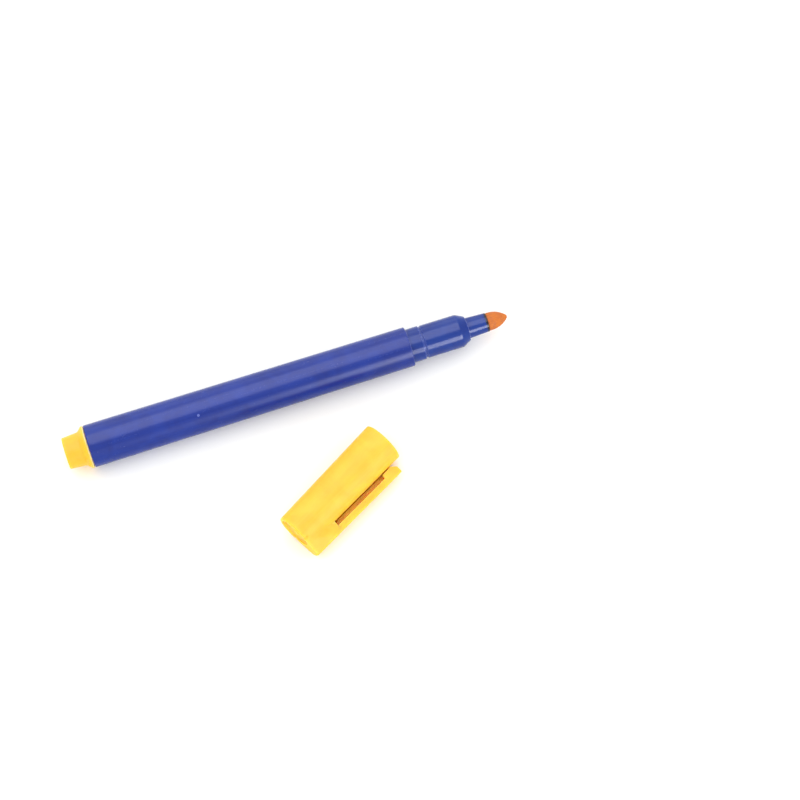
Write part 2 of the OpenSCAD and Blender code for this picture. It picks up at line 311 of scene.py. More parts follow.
def ragged_along(tree, scale, depth):
    """The place along the pen in mm, made uneven by noise so that a band has no ruled edge."""
    place = in_millimetres(tree)
    along = feed(tree, node(tree, "ShaderNodeSeparateXYZ"), Vector=place).outputs["X"]
    return sums(tree, "ADD", along, sums(tree, "MULTIPLY", noise_of(tree, place, scale), depth))


print("Ready to shape noise into marks")

# %% [markdown]
# Two marks are worth a helper each. Hairlines are noise stretched a long way in one direction and
# cut off near its crests, once for each of two directions, and a second noise lets them appear
# only in patches. The edge mask paints edges paler: as wear, and on the blue lips also as a
# painted highlight. It could come from a mask painted by hand, or from the Pointiness value, which
# needs a far denser mesh than this. The Bevel node is chosen: it averages the surface's direction
# over a small reach, and that average differs from the true direction only near an edge.

# %% Hairlines and worn edges
HAIRLINE_WAYS = ((0.35, 3.1), (-0.9, 2.3))
HAIRLINE_ALONG = 0.06
HAIRLINE_CREST = (0.75, 0.79)
PATCH_SCALE = 0.13
PATCH_SEEN = (0.48, 0.6)
EDGE_AGREEMENT = (0.93, 0.985)


def scratches(tree, turn):
    """Sparse hairlines, each way given by its angle and by how closely its lines lie."""
    found = 0.0
    for angle, across in HAIRLINE_WAYS:
        stretched = in_millimetres(tree, (HAIRLINE_ALONG, across, across), turn + angle)
        line = stepped(tree, noise_of(tree, stretched, 1.0, detail=1.0), *HAIRLINE_CREST)
        cloud = noise_of(tree, in_millimetres(tree, turn=turn), PATCH_SCALE)
        patch = stepped(tree, cloud, *PATCH_SEEN)
        seen = sums(tree, "MULTIPLY", line, patch)
        found = sums(tree, "MAXIMUM", seen, found)
    return found


def worn_and_highlit_edges(tree, reach):
    """1 beside a tight edge and 0 away from it. Within the reach, in mm, the direction that the
    surface faces differs from the direction averaged over its surroundings."""
    average = feed(tree, node(tree, "ShaderNodeBevel", samples=4), Radius=reach * MM)
    shape = node(tree, "ShaderNodeNewGeometry")
    agree = node(tree, "ShaderNodeVectorMath", operation="DOT_PRODUCT")
    tree.links.new(average.outputs["Normal"], agree.inputs[0])
    tree.links.new(shape.outputs["Normal"], agree.inputs[1])
    return stepped(tree, agree.outputs["Value"], *EDGE_AGREEMENT, 1.0, 0.0)


print("Hairlines run in", len(HAIRLINE_WAYS), "directions")

# %% [markdown]
# One recipe now serves every moulded piece, because on the real pen they differ only in pigment
# and in how well their tools were polished. Pigment and drag lines give the colour, paler edges
# and hairlines are laid over it, and the same noises feed the roughness and a bump of a few
# thousandths of a millimetre. The paler edges stand for wear, and on the blue pieces also for a
# painted highlight along the lips. Yellow pieces also get light-scattering, which comes further
# down.

# %% The recipe for a moulded plastic
PIGMENT_SCALE = 0.16
PEEL_SCALE = 1.9
DRAG_ALONG = 0.035
DRAG_ACROSS = 1.7
DRAG_SHARE = 0.25
EDGE_WEAR_AND_HIGHLIGHT_SHARE = 0.9
HAIRLINE_SHARE = 0.07
HAIRLINE_DEPTH = 0.15
PEEL_SHINE = 0.05
GLOW_REACH = 3.5
GLOW_SHARES = (1.0, 0.62, 0.12)


def moulded_plastic(name, deep, pale, edge_wear_and_highlight, roughness, drag, turn=0.0, peel=0.0035, reach=0.18,
                    glow=None):
    """Pigmented polypropylene. deep and pale are its uneven pigment, and the third colour is that
    of its edges, as far as reach in mm: worn paler, and on the blue pieces also a painted
    highlight. drag is the strength of the lengthwise lines, peel the height of the orange peel in
    mm, and glow its light-scattering."""
    made, tree, shader = new_material(name)
    everywhere = in_millimetres(tree, turn=turn)
    pigment = noise_of(tree, everywhere, PIGMENT_SCALE, detail=4.0, distortion=0.6)
    fine = noise_of(tree, everywhere, PEEL_SCALE, detail=2.0)
    drawn_out = in_millimetres(tree, (DRAG_ALONG, DRAG_ACROSS, DRAG_ACROSS), turn)
    lines = noise_of(tree, drawn_out, 1.0, detail=3.0)
    hairlines = scratches(tree, turn)
    edges = worn_and_highlit_edges(tree, reach)

    blend = sums(tree, "ADD", sums(tree, "MULTIPLY", pigment, 1.0 - DRAG_SHARE),
                 sums(tree, "MULTIPLY", lines, DRAG_SHARE))
    colour = colour_ramp(tree, blend, [(0.36, deep), (0.64, pale)])
    wear_and_highlight = sums(tree, "MULTIPLY", edges, sums(tree, "ADD", fine, 0.4))
    wear_and_highlight = sums(tree, "MAXIMUM", sums(tree, "MULTIPLY", wear_and_highlight, EDGE_WEAR_AND_HIGHLIGHT_SHARE),
                sums(tree, "MULTIPLY", hairlines, HAIRLINE_SHARE))
    # Edges and hairlines are painted paler: wear, and on the blue lips also a painted highlight.
    colour = mixed(tree, wear_and_highlight, colour, edge_wear_and_highlight)

    # The lines average a half, so this sum stays centred on the roughness asked for.
    shine = sums(tree, "MULTIPLY_ADD", lines, drag * 0.5)
    shine.node.inputs[2].default_value = roughness - drag * 0.25
    shine = sums(tree, "ADD", shine, sums(tree, "MULTIPLY", hairlines, HAIRLINE_SHARE))
    shine = sums(tree, "ADD", shine, sums(tree, "MULTIPLY", fine, PEEL_SHINE))

    height = sums(tree, "ADD", sums(tree, "MULTIPLY", fine, 0.5),
                  sums(tree, "MULTIPLY", lines, drag * 3.0))
    height = sums(tree, "SUBTRACT", height, sums(tree, "MULTIPLY", hairlines, HAIRLINE_DEPTH))
    feed(tree, shader, Base_Color=colour, Roughness=shine, Normal=bumped(tree, height, peel),
         Specular_IOR_Level=0.25)
    if glow:
        feed(tree, shader, Subsurface_Weight=glow, Subsurface_Scale=GLOW_REACH * MM,
             Subsurface_Radius=GLOW_SHARES)
    return made, tree, shader


print("A moulded plastic mixes", 1.0 - DRAG_SHARE, "pigment with", DRAG_SHARE, "drag lines")

# %% [markdown]
# The barrel's blue is deep and satin. Its drag lines are the strongest on the pen, and its edges
# are a lighter blue: partly wear, partly a painted highlight along the lips.

# %% Satin blue for the barrel
BARREL_DEEP = (0.0010, 0.015, 0.185)
BARREL_PALE = (0.0026, 0.024, 0.245)
# A pale blue for the edges: partly wear, partly a painted highlight on the lips.
BLUE_WEAR_AND_HIGHLIGHT = (0.15, 0.20, 0.58)
barrel_plastic = moulded_plastic("barrel_blue", BARREL_DEEP, BARREL_PALE, BLUE_WEAR_AND_HIGHLIGHT, 0.23,
                                 drag=0.16, reach=0.30)[0]
print("Made", barrel_plastic.name)

# %% [markdown]
# The front section comes from a better polished tool, so its highlights are crisp. The same recipe
# serves, with a lower roughness. The last half millimetre of the collar, next to the fibre tip, is
# painted almost black. The dark band is painted by position along the pen, with a little noise so
# that its edge isn't a ruled line.

# %% Polished blue with a darkened collar end
COLLAR_END = 22.2
DARK_BAND_LENGTH = 0.55
DARK_BAND_RAGGED = 0.5
DARK_BAND_GRAIN = 1.1
SECTION_DEEP = (0.0012, 0.018, 0.18)
SECTION_PALE = (0.0030, 0.030, 0.23)
COLLAR_END_DARK = (0.010, 0.007, 0.016)

# Its edges take the same pale blue: partly wear, partly a painted highlight.
section_plastic, tree, shader = moulded_plastic(
    "section_blue", SECTION_DEEP, SECTION_PALE, BLUE_WEAR_AND_HIGHLIGHT, 0.16, drag=0.05, peel=0.002,
    reach=0.30)
# The collar's last half millimetre is painted almost black.
ragged = ragged_along(tree, DARK_BAND_GRAIN, DARK_BAND_RAGGED)
darkened_from = COLLAR_END - DARK_BAND_LENGTH + 0.1
darkened = stepped(tree, ragged, darkened_from, darkened_from + 0.3)
clean_colour = shader.inputs["Base Color"].links[0].from_socket
feed(tree, shader, Base_Color=mixed(tree, darkened, clean_colour, COLLAR_END_DARK))
print("Made", section_plastic.name)

# %% [markdown]
# ## The yellow plastic
#
# Cap and plug are the same yellow polypropylene. Thin yellow mouldings let light in: it wanders a
# few millimetres inside and comes out warmer, so shaded places turn orange and never grey. A plain
# diffuse yellow would go muddy in the gap under the clip. Subsurface scattering, with red
# travelling furthest and blue hardly at all, gives the real glow. The plug's yellow is set a
# little darker and duller than the cap's.

# %% Warm translucent yellow
YELLOW_DEEP = (0.91, 0.46, 0.026)
YELLOW_PALE = (0.93, 0.535, 0.042)
YELLOW_WORN = (0.94, 0.63, 0.23)
PLUG_DEEP = (0.78, 0.44, 0.020)
PLUG_PALE = (0.82, 0.50, 0.034)
CAP_YAW = math.radians(29.6)
cap_plastic = moulded_plastic("cap_yellow", YELLOW_DEEP, YELLOW_PALE, YELLOW_WORN, 0.50,
                              drag=0.10, turn=CAP_YAW, glow=0.75)[0]
plug_plastic, tree, shader = moulded_plastic(
    "plug_yellow", PLUG_DEEP, PLUG_PALE, YELLOW_WORN, 0.44, drag=0.08, glow=0.70)
print("Made", cap_plastic.name, "and", plug_plastic.name)

# %% [markdown]
# At the rim of the plug the yellow turns a pale cream, in a ragged band next to the barrel.

# %% Paint the plug's rim pale
BARREL_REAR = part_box("barrel")[0].x / MM
PALE_RIM_WIDTH = 0.55
PALE_RIM_RAGGED = 0.5
PALE_RIM_GRAIN = 0.5
PALE_RIM_CREAM = (0.90, 0.66, 0.34)

ragged = ragged_along(tree, PALE_RIM_GRAIN, PALE_RIM_RAGGED)
pale_rim_from = BARREL_REAR - PALE_RIM_WIDTH + 0.25
# A ragged band next to the barrel is painted pale cream.
pale_rim = stepped(tree, ragged, pale_rim_from, pale_rim_from + 0.3, 0.0, 0.8)
clean_colour = shader.inputs["Base Color"].links[0].from_socket
feed(tree, shader, Base_Color=mixed(tree, pale_rim, clean_colour, PALE_RIM_CREAM))
print("Rubbed the rim of", plug_plastic.name)

# %% [markdown]
# ## The fibre tip
#
# The tip is a rod of bonded polyester fibres ground to a bullet and soaked with amber iodine
# solution. Its fibres run lengthwise, the ground end shows their cut ends, and it is darker
# where solution has pooled. The grain in the shape comes later as real geometry. The material
# adds colour: long streaks for the fibres, a large blotch or two, and a matt, slightly wet sheen.

# %% Amber felt
TIP_DARK = (0.36, 0.078, 0.003)
TIP_MIDDLE = (0.53, 0.128, 0.004)
TIP_LIGHT = (0.62, 0.172, 0.008)
FIBRE_SHARE = 0.55
FELT_DEPTH = 0.05

nib_felt, tree, shader = new_material("amber_felt")
fibres = noise_of(tree, in_millimetres(tree, (0.55, 6.5, 6.5)), 1.0, detail=4.0, roughness=0.65)
blotch = noise_of(tree, in_millimetres(tree), 0.42, detail=2.0, distortion=0.8)
fuzz = noise_of(tree, in_millimetres(tree), 11.0, detail=2.0)
soaked = sums(tree, "ADD", sums(tree, "MULTIPLY", fibres, FIBRE_SHARE),
              sums(tree, "MULTIPLY", blotch, 1.0 - FIBRE_SHARE))
felt_colour = colour_ramp(tree, soaked, [(0.36, TIP_DARK), (0.50, TIP_MIDDLE), (0.66, TIP_LIGHT)])
felt_height = sums(tree, "ADD", fibres, sums(tree, "MULTIPLY", fuzz, 0.6))
feed(tree, shader, Base_Color=felt_colour, Normal=bumped(tree, felt_height, FELT_DEPTH),
     Roughness=stepped(tree, blotch, 0.3, 0.7, 0.62, 0.85), Specular_IOR_Level=0.35,
     Sheen_Weight=0.04, Sheen_Roughness=0.5)
print("Made", nib_felt.name)

# %% [markdown]
# ## Hidden pieces
#
# The barrel hides a core of bonded fibre that stores the solution, and a thin film round it.
# They are seen only when someone takes the pen apart, and their shapes are already right, so
# they keep the engineering meshes and get honest finishes: streaky soaked fibre, and a milky
# film with faint wrinkles.

# %% Ink core and film
CORE_WET = (0.60, 0.25, 0.045)
CORE_DRY = (0.88, 0.62, 0.26)
FILM_CLEAR = (0.83, 0.83, 0.80)
FILM_MILKY = (0.93, 0.93, 0.91)
STRAND_DEPTH = 0.12
WRINKLE_DEPTH = 0.05

core_fibre, tree, shader = new_material("soaked_core")
strands = noise_of(tree, in_millimetres(tree, (0.12, 4.0, 4.0)), 1.0, detail=5.0, roughness=0.6)
feed(tree, shader, Base_Color=colour_ramp(tree, strands, [(0.35, CORE_WET), (0.65, CORE_DRY)]),
     Normal=bumped(tree, strands, STRAND_DEPTH),
     Roughness=stepped(tree, strands, 0.3, 0.7, 0.75, 0.95))

core_film, tree, shader = new_material("core_film")
wrinkles = noise_of(tree, in_millimetres(tree, (0.25, 1.2, 1.2)), 1.0, detail=4.0, distortion=1.5)
feed(tree, shader, Base_Color=colour_ramp(tree, wrinkles, [(0.3, FILM_CLEAR), (0.7, FILM_MILKY)]),
     Normal=bumped(tree, wrinkles, WRINKLE_DEPTH),
     Roughness=stepped(tree, wrinkles, 0.3, 0.7, 0.18, 0.34))


def finish_node(name, material):
    """Gives a CAD node its finish; its mesh stays as it is."""
    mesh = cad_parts[name].data
    mesh.materials.clear()
    mesh.materials.append(material)


finish_node("ink_core", core_fibre)
finish_node("ink_film", core_film)
print("Finished the ink core and its film")

# %% [markdown]
# ## Turned shapes
#
# Barrel, front section, tip and plug are all round, so a lathe makes them: an outline of a few
# points, each with its own corner radius, is swept round the pen's axis. Blender's Screw modifier
# could do the sweeping, and a Bevel modifier the corners. Short functions are used here, because
# each corner keeps its own radius and every ring is clean. The outlines are in millimetres, and
# their outer limits are read from the engineering model. Rounding the outline comes first.

# %% Round the corners of an outline
CORNER_STEPS = 6
SUPPORT_FROM = 0.7
SUPPORT_INSET = 0.16


def round_corner(before, corner, after):
    """The points of an arc that replaces one corner; a point is (axial, radial, radius)."""
    here = Vector(corner[:2])
    back = (Vector(before[:2]) - here).normalized()
    ahead = (Vector(after[:2]) - here).normalized()
    half_angle = back.angle(ahead) / 2
    centre = here + (back + ahead).normalized() * corner[2] / math.sin(half_angle)
    first = here + back * corner[2] / math.tan(half_angle) - centre
    last = here + ahead * corner[2] / math.tan(half_angle) - centre
    sweep = first.angle_signed(last)
    return [centre + Matrix.Rotation(-sweep * i / CORNER_STEPS, 2) @ first
            for i in range(CORNER_STEPS + 1)]


def rounded(outline, closed):
    """An outline with every corner that has a radius replaced by an arc."""
    points = []
    for i, corner in enumerate(outline):
        inner = closed or 0 < i < len(outline) - 1
        if inner and corner[2] > 0:
            after = outline[(i + 1) % len(outline)]
            points += round_corner(outline[i - 1], corner, after)
        else:
            points.append(Vector(corner[:2]))
    return points


def with_supports(points, closed):
    """Adds a point a little way in from both ends of each long straight, so that the shading of
    a rounded corner doesn't spread along the flat that follows it."""
    supported = []
    for here, after in zip(points, points[1:] + points[:1]):
        supported.append(here)
        if (after - here).length > SUPPORT_FROM:
            step = (after - here).normalized() * SUPPORT_INSET
            supported += [here + step, after - step]
    return supported if closed else supported[:supported.index(points[-1]) + 1]


print("A rounded corner has", CORNER_STEPS, "steps")

# %% [markdown]
# The outline is then swept. Each of its points becomes a ring of vertices, neighbouring rings are
# joined by a skin of faces, and the finished mesh is shaded smooth except where it turns sharply.

# %% The lathe
AROUND = 128


def skin(bm, first, second):
    """Faces between two rings; a ring may be a single point on the axis."""
    count = max(len(first), len(second))
    faces = []
    for i in range(count):
        a, b = first[i % len(first)], first[(i + 1) % len(first)]
        c, d = second[(i + 1) % len(second)], second[i % len(second)]
        corners = [v for k, v in enumerate((a, b, c, d)) if v not in (a, b, c, d)[:k]]
        faces.append(bm.faces.new(corners))
    return faces


def make_piece(bm, name, material, sharp_degrees=32.0):
    """Turns a bmesh into a smooth-shaded object whose tight corners stay crisp."""
    bmesh.ops.recalc_face_normals(bm, faces=bm.faces)
    mesh = bpy.data.meshes.new(name)
    bm.to_mesh(mesh)
    bm.free()
    mesh.shade_smooth()
    mesh.set_sharp_from_angle(angle=math.radians(sharp_degrees))
    mesh.materials.append(material)
    piece = bpy.data.objects.new(name, mesh)
    bpy.context.scene.collection.objects.link(piece)
    print(name, "has", len(mesh.polygons), "faces")
    return piece


def lathe(name, outline, material, closed=True):
    """A round piece about the X axis. A closed outline is a tube; an open one ends on the axis."""
    bm = bmesh.new()
    rings = []
    for along, radius in with_supports(rounded(outline, closed), closed):
        if radius < 1e-6:
            rings.append([bm.verts.new((along * MM, 0.0, 0.0))])
            continue
        turns = [2 * math.pi * i / AROUND for i in range(AROUND)]
        circle = [(radius * MM * math.cos(a), radius * MM * math.sin(a)) for a in turns]
        rings.append([bm.verts.new((along * MM, y, z)) for y, z in circle])
    for first, second in zip(rings, rings[1:] + (rings[:1] if closed else [])):
        skin(bm, first, second)
    return make_piece(bm, name, material)


print("The lathe makes", AROUND, "steps in a turn")

# %% [markdown]
# ## The barrel
#
# The barrel tapers from the plug to the front face, and both outer lips are rounded the way a
# tool leaves them. A plain cone would do as long as the pen is whole. A true tube is made, with
# the two bores that plug and front section are pressed into, so that it is right inside as well.

# %% Turn the barrel
BARREL_REAR_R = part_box("barrel")[1].z / MM
BARREL_FRONT_R = 5.475
FRONT_BORE_R = 4.45
FRONT_BORE_LENGTH = 11.0
REAR_BORE_R = 4.8
REAR_BORE_LENGTH = 8.0
LIP = 0.3

barrel = lathe("barrel_tube", [
    (BARREL_REAR, REAR_BORE_R, 0.1),
    (BARREL_REAR, BARREL_REAR_R, LIP),
    (0.0, BARREL_FRONT_R, LIP),
    (0.0, FRONT_BORE_R, 0.08),
    (-FRONT_BORE_LENGTH, FRONT_BORE_R, 0.0),
    (BARREL_REAR + REAR_BORE_LENGTH, REAR_BORE_R, 0.0),
], barrel_plastic)
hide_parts("barrel")
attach(barrel, "pen")

# %% [markdown]
# A moulded tube also has a gate mark, the small round scar where the plastic ran in. It is a low
# dome less than a millimetre across, and it catches the light on the upper side of the barrel. A
# bump in the material could suggest it. A few rings of real faces are as quick, and they also
# show where light grazes the barrel.

# %% Add the gate mark
GATE_X = BARREL_REAR + 30.5
GATE_R = 0.42
GATE_RISE = 0.05
GATE_SINK = 0.02
GATE_TURN = math.radians(29.0)
GATE_RINGS = 4
GATE_AROUND = 24


def barrel_radius(along):
    """Outside radius of the barrel at a place along it, in mm."""
    return BARREL_FRONT_R + (BARREL_REAR_R - BARREL_FRONT_R) * along / BARREL_REAR


bm = bmesh.new()
rings = []
for step in range(GATE_RINGS + 1):
    share = 1.0 - step / GATE_RINGS
    rise = GATE_RISE * (1.0 - share * share) - GATE_SINK
    ring = []
    for i in range(GATE_AROUND if share else 1):
        angle = 2 * math.pi * i / GATE_AROUND
        along = GATE_X + GATE_R * share * math.cos(angle)
        around = GATE_TURN + GATE_R * share * math.sin(angle) / BARREL_REAR_R
        radius = barrel_radius(along) + rise
        ring.append(bm.verts.new((along * MM, -radius * MM * math.sin(around),
                                  radius * MM * math.cos(around))))
    rings.append(ring)
for first, second in zip(rings, rings[1:]):
    skin(bm, first, second)
bm.faces.new(rings[0])
gate = make_piece(bm, "barrel_gate_mark", barrel_plastic)
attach(gate, "pen")

# %% [markdown]
# ## The front section
#
# One moulding carries a band that the cap grips, a snap groove, the grip, a rounded shoulder and
# the nose collar. The groove and its lips are narrow, so they are real geometry with tiny radii:
# a bump map would leave the outline straight where light shows through the notch.

# %% Turn the front section
BAND_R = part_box("front_section")[1].z / MM
BAND_LENGTH = 3.5
GRIP_R = 4.57
GROOVE_R = 4.35
GROOVE_START = BAND_LENGTH + 0.16
GROOVE_END = BAND_LENGTH + 0.52
GRIP_START = BAND_LENGTH + 0.70
SHOULDER_START = 14.2
SHOULDER_END = 16.5
SHOULDER_FRONT_R = 3.35
COLLAR_ROOT_R = 2.875
COLLAR_END_R = 2.6
SHANK_R = 4.44
ROD_R = 1.98
SHANK_END = -10.0
SHANK_WALL = 1.1
SHANK_HOLE_END = 9.0

front_section = lathe("front_section_moulding", [
    (SHANK_END, SHANK_R - 0.25, 0.0),
    (SHANK_END + 0.5, SHANK_R, 0.1),
    (0.0, SHANK_R, 0.0),
    (0.0, BAND_R, 0.0),
    (BAND_LENGTH, BAND_R, 0.12),
    (GROOVE_START, GROOVE_R, 0.05),
    (GROOVE_END, GROOVE_R, 0.05),
    (GRIP_START, GRIP_R, 0.12),
    (SHOULDER_START, GRIP_R, 1.5),
    (SHOULDER_END, SHOULDER_FRONT_R, 0.3),
    (SHOULDER_END, COLLAR_ROOT_R, 0.12),
    (COLLAR_END, COLLAR_END_R, 0.1),
    (COLLAR_END, ROD_R + 0.45, 0.0),
    (COLLAR_END - 0.5, ROD_R, 0.0),
    (SHOULDER_START, ROD_R, 0.3),
    (SHANK_HOLE_END, SHANK_R - SHANK_WALL, 0.3),
    (SHANK_END, SHANK_R - SHANK_WALL, 0.0),
], section_plastic)
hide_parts("front_section")
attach(front_section, "pen")

# %% [markdown]
# ## Shaping the tip
#
# The tip's side is one long arc that is closed by a small round end. It could be drawn as a
# freehand curve. Two arcs that meet without a kink are what a grinding wheel cuts, so the radius
# of the small end is worked out from the tip's length and from the arc of its side.

# %% The bullet's outline
TIP_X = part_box("nib")[1].x / MM
TIP_R = 2.48
SIDE_R = 6.56
SIDE_START = 0.8


def bullet_radius(along):
    """Radius of the unworn tip at a distance from the collar, in mm."""
    reach = TIP_X - COLLAR_END - SIDE_START
    drop = TIP_R - SIDE_R
    end_r = (reach ** 2 + drop ** 2 - SIDE_R ** 2) / (2 * (reach - SIDE_R))
    end_c = reach - end_r
    meet = end_c + end_r * math.cos(math.atan2(-drop, end_c))
    x = along - SIDE_START
    if x <= 0:
        return TIP_R
    if x < meet:
        return drop + math.sqrt(SIDE_R ** 2 - x ** 2)
    return math.sqrt(max(end_r ** 2 - (x - end_c) ** 2, 0.0))


print("The tip is", round(TIP_X - COLLAR_END, 2), "mm long")

# %% [markdown]
# Grinding leaves the fibres slightly proud of each other, so every point of the tip is pushed
# inwards by noise. On the side the noise is stretched along the fibres. Near the point it isn't,
# because there we look at their cut ends. A Displace modifier would push both ways. Pushing
# inwards only keeps the tip inside its engineering size. Writing has rubbed one side of the point
# a little flatter.

# %% Fibre grain
FIBRE_DEPTH = 0.055
FIBRE_ALONG = 0.55
FIBRE_ACROSS = 4.2
END_DEPTH = 0.07
END_GRAIN = 3.6
END_GRAIN_FROM = 0.55
END_GRAIN_FADE = 0.4
END_PULL_BACK = 0.6
WEAR_DEPTH = 0.10
WORN_SIDE = Vector((0.0, 0.5, -0.2))


def roughen(point):
    """Moves a point of the tip inwards by its fibre grain; points and depths are in mm."""
    along = (point.x - COLLAR_END) / (TIP_X - COLLAR_END)
    end_grain = min(max((along - END_GRAIN_FROM) / END_GRAIN_FADE, 0.0), 1.0)
    across = (point.y * FIBRE_ACROSS, point.z * FIBRE_ACROSS)
    grain = noise.noise(Vector((point.x * FIBRE_ALONG, *across)))
    dots = noise.noise(point * END_GRAIN)
    depth = (0.5 + 0.5 * grain) * FIBRE_DEPTH * (1 - end_grain)
    depth += (0.5 + 0.5 * dots) * END_DEPTH * end_grain
    facing = max(point.dot(WORN_SIDE), 0.0) / TIP_R
    depth += WEAR_DEPTH * end_grain * facing * 2
    axis_point = Vector((point.x - END_PULL_BACK * end_grain, 0.0, 0.0))
    inwards = (axis_point - point).normalized()
    return point + inwards * min(depth, (axis_point - point).length * 0.5)


print("The grain is up to", max(FIBRE_DEPTH, END_DEPTH), "mm deep")

# %% [markdown]
# The tip is turned like the other round pieces, from the rod that carries the solution to the
# point, and each ring in front of the collar is roughened as it is made. The rings lie closer
# together towards the point, where the outline curves most.

# %% Turn and roughen the fibre tip
TIP_RINGS = 44
HEEL = 0.18

bm = bmesh.new()
rod_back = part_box("nib")[0].x / MM
rings = [[bm.verts.new((rod_back * MM, 0.0, 0.0))]]
stations = [(rod_back, ROD_R), (COLLAR_END - 0.4, ROD_R), (COLLAR_END - 0.3, TIP_R - HEEL - 0.1),
            (COLLAR_END, TIP_R - HEEL), (COLLAR_END + HEEL, TIP_R)]
for i in range(1, TIP_RINGS):
    share = math.sin(math.pi / 2 * i / TIP_RINGS)
    along = HEEL + (TIP_X - COLLAR_END - HEEL) * share
    stations.append((COLLAR_END + along, bullet_radius(along)))
for along, radius in stations:
    ring = []
    for i in range(AROUND):
        angle = 2 * math.pi * i / AROUND
        point = Vector((along, radius * math.cos(angle), radius * math.sin(angle)))
        ring.append(bm.verts.new((roughen(point) if along > COLLAR_END else point) * MM))
    rings.append(ring)
rings.append([bm.verts.new(((TIP_X - 0.03) * MM, 0.0, 0.0))])
for first, second in zip(rings, rings[1:]):
    skin(bm, first, second)
nib = make_piece(bm, "fibre_tip", nib_felt, sharp_degrees=60.0)
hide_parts("nib")
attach(nib, "pen")

# %% [markdown]
# ## The rear plug
#
# The plug closes the barrel: a hollow spigot inside, a flange as wide as the barrel, and a stub
# with a shallow dish in its end. The flange flares out of the stub in a soft concave curve, and a
# hair of shadow stays between flange and barrel, because a pressed joint never closes quite to
# nothing. The lathe makes all of it from one outline, which starts and ends on the axis.

# %% Turn the rear plug
FLANGE_LENGTH = 2.0
FLANGE_RIM = 0.75
FLANGE_R = BARREL_REAR_R - 0.02
STUB_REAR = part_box("rear_plug")[0].x / MM
STUB_ROOT_R = 4.64
STUB_REAR_R = 4.32
STUB_DISH_R = 2.6
STUB_DISH_DEPTH = 0.25
SPIGOT_R = 4.79
SPIGOT_LENGTH = 7.0
HOLLOW_R = 3.6
STUB_END_WALL = 1.3
SEAM = 0.12

plug = lathe("rear_plug_moulding", [
    (STUB_REAR + STUB_DISH_DEPTH, 0.0, 0.0),
    (STUB_REAR + STUB_DISH_DEPTH, STUB_DISH_R, 0.06),
    (STUB_REAR, STUB_DISH_R + 0.02, 0.06),
    (STUB_REAR, STUB_REAR_R, 0.28),
    (BARREL_REAR - FLANGE_LENGTH, STUB_ROOT_R, 0.8),
    (BARREL_REAR - FLANGE_RIM, FLANGE_R, 0.3),
    (BARREL_REAR - SEAM, FLANGE_R, 0.12),
    (BARREL_REAR - SEAM, SPIGOT_R, 0.0),
    (BARREL_REAR + SPIGOT_LENGTH - 0.5, SPIGOT_R, 0.2),
    (BARREL_REAR + SPIGOT_LENGTH, SPIGOT_R - 0.3, 0.0),
    (BARREL_REAR + SPIGOT_LENGTH, HOLLOW_R, 0.1),
    (STUB_REAR + STUB_END_WALL, HOLLOW_R, 0.3),
    (STUB_REAR + STUB_END_WALL, 0.0, 0.0),
], plug_plastic, closed=False)
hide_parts("rear_plug")
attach(plug, "pen")

# %% [markdown]
# ## The cap
#
# The cap is a tapered cup. Its closed end is a shallow dish with three air slots and the end of
# the inner cap in the middle, and a stiff root grows out of one side to carry the clip. It could
# be built from a cylinder and a block joined by a boolean, but such joins shade badly where the
# root flares out of the round wall. Instead the whole shell is one grid: every ring of points
# round the cap's axis asks a function how far out the surface lies in each direction. The
# function blends wall and root the way the tool was cut, so the fillet is part of the shape.
# The cap lies turned beside the pen, so it gets a frame of its own first.

# %% The cap's own frame
CAP_LENGTH = 34.6
MOUTH = Vector((-15.0, -23.9, 0.0))
CLOSED_R = 5.35
MOUTH_R = 5.9
CAP_SLOPE = (MOUTH_R - CLOSED_R) / CAP_LENGTH
CLIP_DIP = math.radians(26.0)
GAP_START = 9.5
CLIP_GAP = 1.42
CLIP_T = 1.9
CLIP_W = 4.4
SEAT_GAP = 0.06
FLEX_X = GAP_START - CLIP_T / 2 - SEAT_GAP

cap_along = Vector((math.cos(CAP_YAW), math.sin(CAP_YAW), 0.0))
cap_side = Vector((-math.sin(CAP_YAW), math.cos(CAP_YAW), 0.0))
up = Vector((0.0, 0.0, 1.0))
clip_out = -math.cos(CLIP_DIP) * cap_side - math.sin(CLIP_DIP) * up
clip_across = math.sin(CLIP_DIP) * cap_side - math.cos(CLIP_DIP) * up


def cap_point(along, out, across):
    """A place in the pen's frame from its distance from the cap's closed end, its distance from
    the axis towards the clip, and its distance across the clip, all in mm."""
    spot = MOUTH + cap_along * (along - CAP_LENGTH) + clip_out * out + clip_across * across
    return spot * MM


def wall_radius(along):
    """Outside radius of the round wall."""
    return CLOSED_R + CAP_SLOPE * along


def clip_inside(along):
    """Distance from the axis to the inner face of the clip, which follows the wall."""
    return wall_radius(along) + CLIP_GAP


print("The clip leans", round(math.degrees(CLIP_DIP), 1), "degrees towards the table")

# %% [markdown]
# Where two surfaces of a moulding meet, the tool leaves a small round. Two little functions do the
# same for a pair of heights: the larger or the smaller of them is taken, and it is eased over
# where the two are close.

# %% Soft corners
def soft_max(first, second, width):
    """The larger value, rounded over where the two are closer than the width."""
    gap = max(width - abs(first - second), 0.0) / width
    return max(first, second) + gap * gap * width / 4


def soft_min(first, second, width):
    """The smaller value, rounded over where the two are closer than the width."""
    return -soft_max(-first, -second, width)


print("Two equal heights meet", soft_max(0.0, 0.0, 0.8), "mm higher with a fillet of 0.8 mm")

# %% [markdown]
# The root is described by direction and distance from the axis, like the wall. Seen along the
# cap it is a block with sloping flanks and a gently arched top, and it narrows from the closed end
# to the clip. Soft corners join its faces to each other and to the round wall. Two small notches
# mark the places where root and round end meet.

